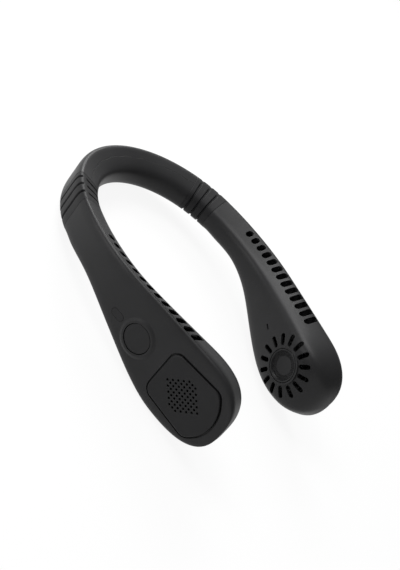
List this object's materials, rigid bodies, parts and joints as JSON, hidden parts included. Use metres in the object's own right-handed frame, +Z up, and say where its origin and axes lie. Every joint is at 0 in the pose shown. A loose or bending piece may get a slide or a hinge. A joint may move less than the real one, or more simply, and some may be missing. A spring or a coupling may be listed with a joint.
{
  "type": "electric neck fan",
  "caption": "Wearable electric neck fan: a band behind the neck, ribbed flexible elbows and two flared arms with blowers, slotted inlets and a row of top outlets.",
  "frame": {"origin": "middle of the footprint on the surface the fan lies on, right way up, on its two bulbs and its band", "axes": "+Z up, the side with the air outlets; the arm tips point to -Y and the band is at +Y; the wearer's right arm, with the button, is at -X"},
  "size_m": [0.1568, 0.2148, 0.0575],
  "materials": {
    "shell_abs": "fine matte texture, moulded black ABS",
    "panel_abs": "smooth matte black ABS",
    "hub_abs": "smooth matte black ABS with a fine mesh rim",
    "button_abs": "smooth matte black ABS",
    "duct_abs": "plain moulded dark ABS",
    "impeller_pbt": "plain moulded dark grey PBT",
    "elbow_tpe": "soft matte black elastomer",
    "core_nylon": "plain nylon link core",
    "wire_pvc": "PVC insulated wire",
    "lamp_lens": "smoked polycarbonate",
    "circuit_board": "solder mask on glass epoxy",
    "switch_plastic": "black moulded switch body",
    "port_steel": "drawn stainless steel",
    "screw_steel": "zinc-plated steel",
    "shaft_steel": "ground steel",
    "rotor_steel": "pressed zinc-plated steel",
    "stator_steel": "stacked silicon-steel sheets",
    "bonded_magnet": "bonded ferrite",
    "copper_wire": "enamelled copper wire",
    "brass": "turned brass",
    "sintered_bronze": "oil-filled sintered bronze",
    "battery_foil": "laminated foil pouch"
  },
  "bodies": {
    "neck_band": {"band_outer_cover": "shell_abs", "band_inner_cover": "shell_abs", "band_harness": "wire_pvc", "left_elbow_sleeve": "elbow_tpe", "left_elbow_core": "core_nylon", "right_elbow_sleeve": "elbow_tpe", "right_elbow_core": "core_nylon"},
    "left_arm": {"left_outer_cover": "shell_abs", "left_inner_shell": "shell_abs", "left_outer_panel": "panel_abs", "left_hub_cap": "hub_abs", "left_volute": "duct_abs", "left_motor_board": "circuit_board", "left_bearing_tube": "brass", "left_bearings": "sintered_bronze", "left_stator_core": "stator_steel", "left_windings": "copper_wire", "left_volute_screws": "screw_steel", "left_battery": "battery_foil", "left_leads": "wire_pvc"},
    "right_arm": {"right_outer_cover": "shell_abs", "right_inner_shell": "shell_abs", "right_outer_panel": "panel_abs", "right_hub_cap": "hub_abs", "right_volute": "duct_abs", "right_motor_board": "circuit_board", "right_bearing_tube": "brass", "right_bearings": "sintered_bronze", "right_stator_core": "stator_steel", "right_windings": "copper_wire", "right_volute_screws": "screw_steel", "right_battery": "battery_foil", "right_leads": "wire_pvc", "lamp_window": "lamp_lens", "main_board": "circuit_board", "tact_switch": "switch_plastic", "usb_port": "port_steel", "port_board": "circuit_board"},
    "left_fan": {"left_impeller": "impeller_pbt", "left_rotor_cup": "rotor_steel", "left_rotor_magnet": "bonded_magnet", "left_shaft": "shaft_steel"},
    "right_fan": {"right_impeller": "impeller_pbt", "right_rotor_cup": "rotor_steel", "right_rotor_magnet": "bonded_magnet", "right_shaft": "shaft_steel"},
    "button": {"power_button": "button_abs", "switch_plunger": "switch_plastic"}
  },
  "joints": [
    {"name": "left_elbow_bend", "type": "hinge", "parent": "neck_band", "child": "left_arm", "pos_m": [0.05797, 0.06219, 0.02037], "axis": [0, 0.162, 0.9868], "range_deg": [-8, 25], "deforming": ["left_elbow_sleeve", "left_elbow_core"]},
    {"name": "right_elbow_bend", "type": "hinge", "parent": "neck_band", "child": "right_arm", "pos_m": [-0.05797, 0.06219, 0.02037], "axis": [0, -0.162, -0.9868], "range_deg": [-8, 25], "deforming": ["right_elbow_sleeve", "right_elbow_core"]},
    {"name": "left_fan_spin", "type": "hinge", "parent": "left_arm", "child": "left_fan", "pos_m": [0.0605, -0.07541, 0.02939], "axis": [-0.982, 0.1866, -0.0306], "continuous": true},
    {"name": "right_fan_spin", "type": "hinge", "parent": "right_arm", "child": "right_fan", "pos_m": [-0.0605, -0.07541, 0.02939], "axis": [0.982, 0.1866, -0.0306], "continuous": true},
    {"name": "button_press", "type": "slide", "parent": "right_arm", "child": "button", "axis": [0.982, 0.1866, -0.0306], "range_m": [0, 0.0006], "stiffness_N_per_m": 2500}
  ]
}
